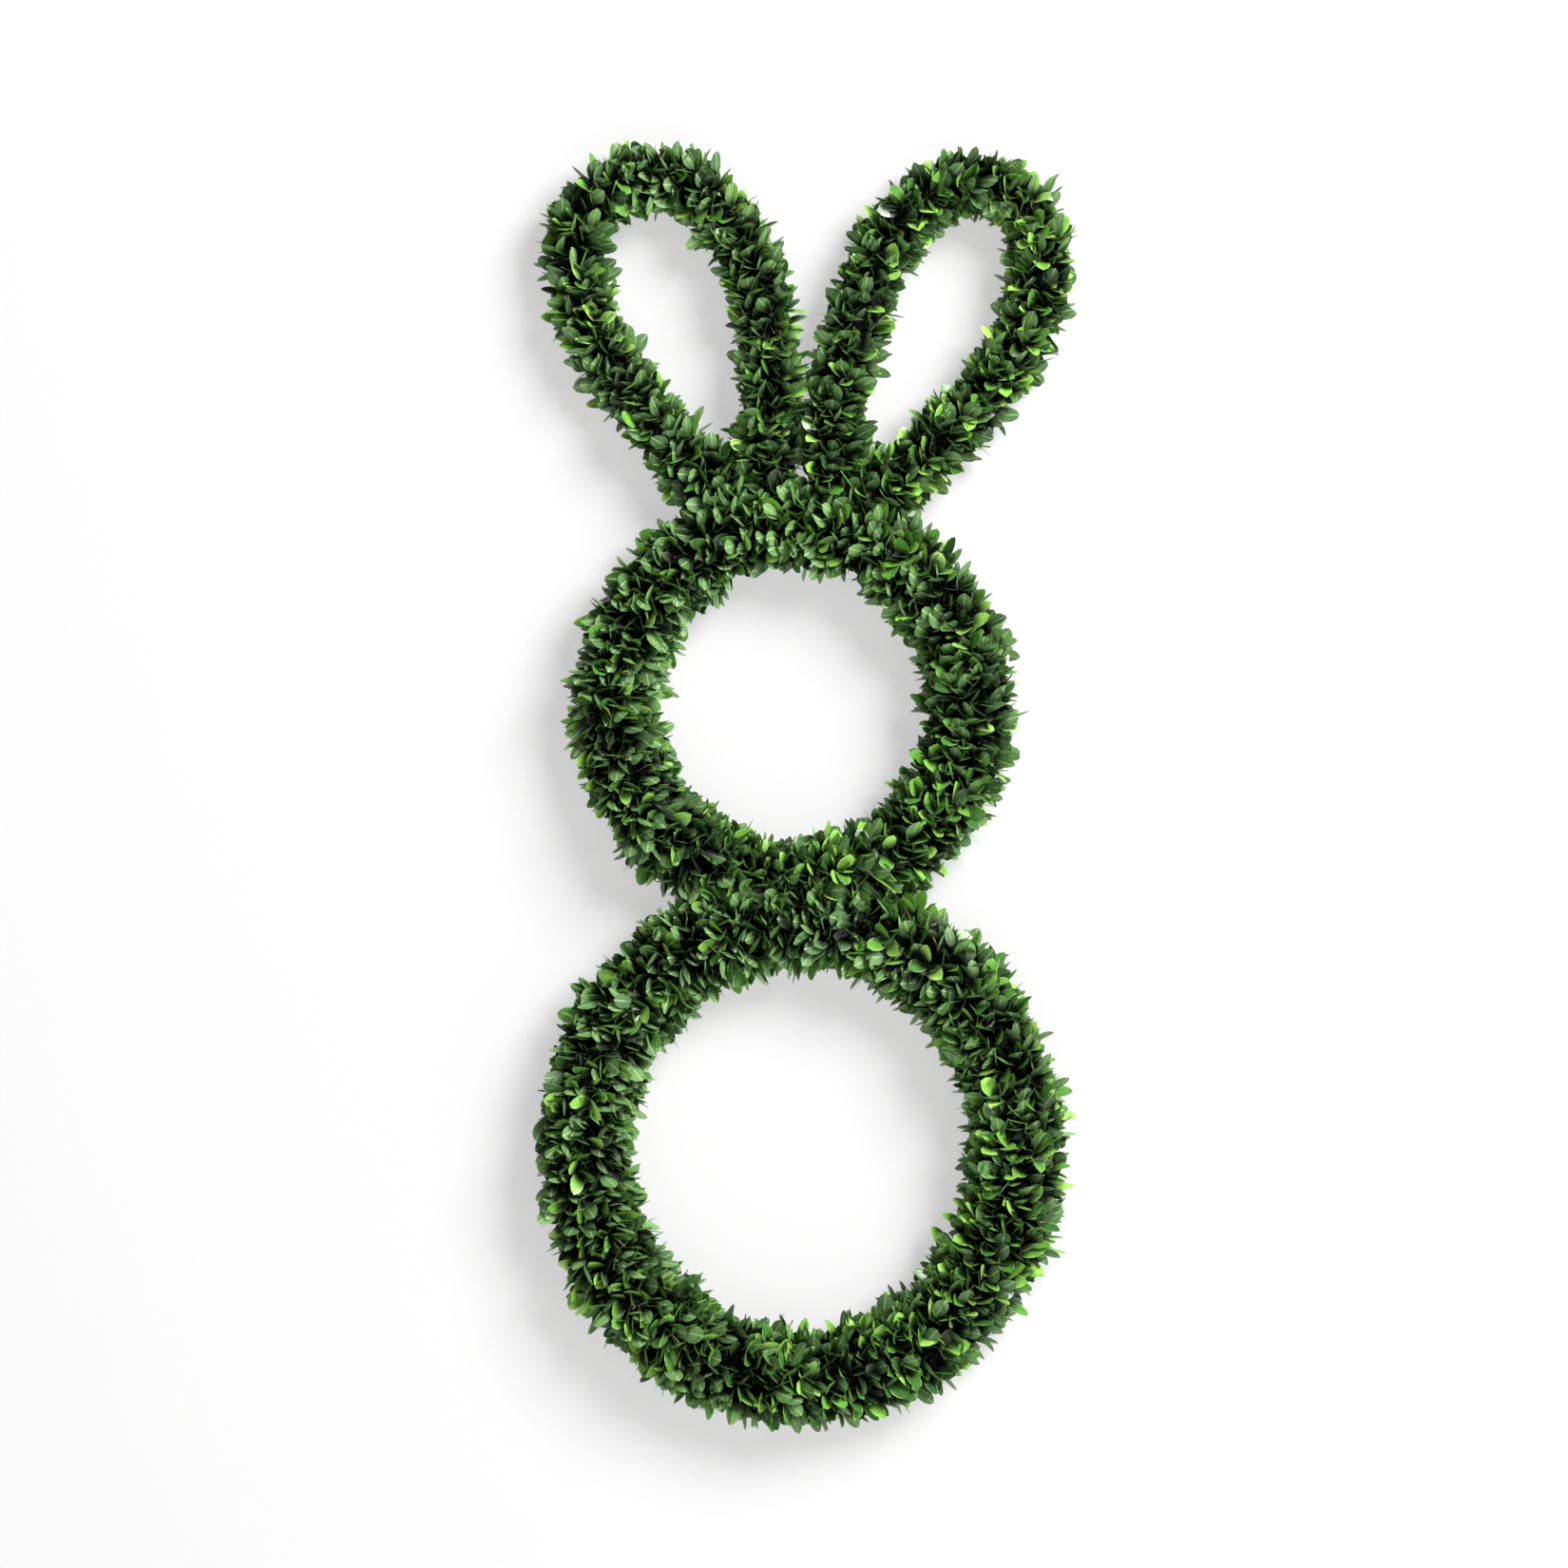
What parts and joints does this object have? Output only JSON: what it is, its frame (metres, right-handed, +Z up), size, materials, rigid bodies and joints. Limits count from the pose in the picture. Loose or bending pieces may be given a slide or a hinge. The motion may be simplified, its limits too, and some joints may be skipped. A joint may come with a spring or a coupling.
{
  "type": "boxwood wreath",
  "caption": "Leafy boxwood wreath in the outline of a rabbit: a body ring, a head ring and upright ear loops on a wire frame, with a hanging loop behind.",
  "frame": {"origin": "where the wall hook bears, on the inner top of the hanging loop", "axes": "+Z up the hanging wreath, +X to the right as seen from the front, -Y out of the front, +Y to the wall"},
  "size_m": [0.3856, 0.0638, 0.9134],
  "materials": {
    "leaf": "glossy green leaves on woody stems",
    "frame_wire": "green coated steel wire",
    "loop_wire": "plain galvanised wire"
  },
  "bodies": {
    "root": {"body_ring_wire": "frame_wire", "head_ring_wire": "frame_wire", "left_ear_wire": "frame_wire", "right_ear_wire": "frame_wire", "neck_strut_left": "frame_wire", "neck_strut_right": "frame_wire", "hanging_loop": "loop_wire", "body_foliage_01": "leaf", "body_foliage_02": "leaf", "body_foliage_03": "leaf", "body_foliage_04": "leaf", "body_foliage_05": "leaf", "body_foliage_06": "leaf", "body_foliage_07": "leaf", "body_foliage_08": "leaf", "body_foliage_09": "leaf", "body_foliage_10": "leaf", "body_foliage_11": "leaf", "body_foliage_12": "leaf", "head_foliage_01": "leaf", "head_foliage_02": "leaf", "head_foliage_03": "leaf", "head_foliage_04": "leaf", "head_foliage_05": "leaf", "head_foliage_06": "leaf", "head_foliage_07": "leaf", "head_foliage_08": "leaf", "head_foliage_09": "leaf", "head_foliage_10": "leaf", "left_ear_root_foliage": "leaf", "left_ear_foliage_01": "leaf", "left_ear_foliage_02": "leaf", "left_ear_foliage_03": "leaf", "left_ear_foliage_04": "leaf", "left_ear_foliage_05": "leaf", "left_ear_foliage_06": "leaf", "left_ear_foliage_07": "leaf", "left_ear_foliage_08": "leaf", "left_ear_foliage_09": "leaf", "left_ear_foliage_10": "leaf", "right_ear_root_foliage": "leaf", "right_ear_foliage_01": "leaf", "right_ear_foliage_02": "leaf", "right_ear_foliage_03": "leaf", "right_ear_foliage_04": "leaf", "right_ear_foliage_05": "leaf", "right_ear_foliage_06": "leaf", "right_ear_foliage_07": "leaf", "right_ear_foliage_08": "leaf", "right_ear_foliage_09": "leaf", "right_ear_foliage_10": "leaf"}
  },
  "joints": []
}
